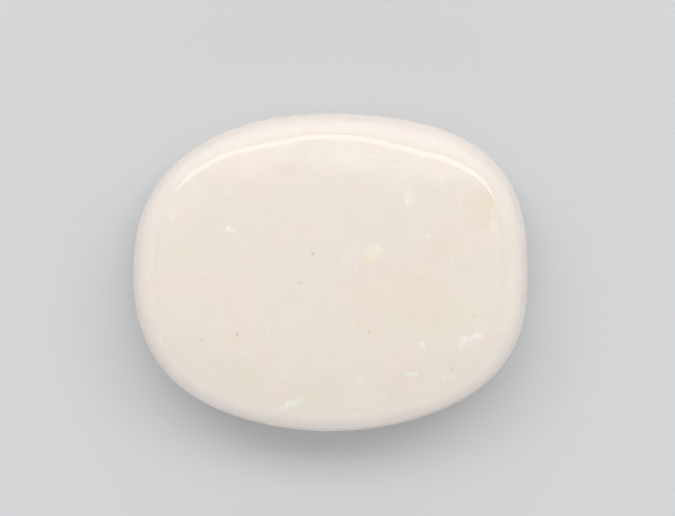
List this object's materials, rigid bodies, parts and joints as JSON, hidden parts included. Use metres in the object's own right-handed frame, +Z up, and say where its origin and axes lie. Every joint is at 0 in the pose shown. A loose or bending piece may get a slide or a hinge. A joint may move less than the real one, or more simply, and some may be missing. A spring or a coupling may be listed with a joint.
{
  "type": "opal cabochon",
  "caption": "Polished white opal cabochon: oval cushion outline, low domed face with a soft shoulder, bulging side and a flat base to rest on or set.",
  "frame": {"origin": "Middle of the stone's bounding box at the level of its flat base.", "axes": "+Z up out of the domed face, along the stone's thickness; +X along its length; +Y across its width."},
  "size_m": [0.015, 0.0122, 0.0045],
  "materials": {
    "white_opal": "gloss"
  },
  "bodies": {
    "root": {"opal": "white_opal"}
  },
  "joints": []
}
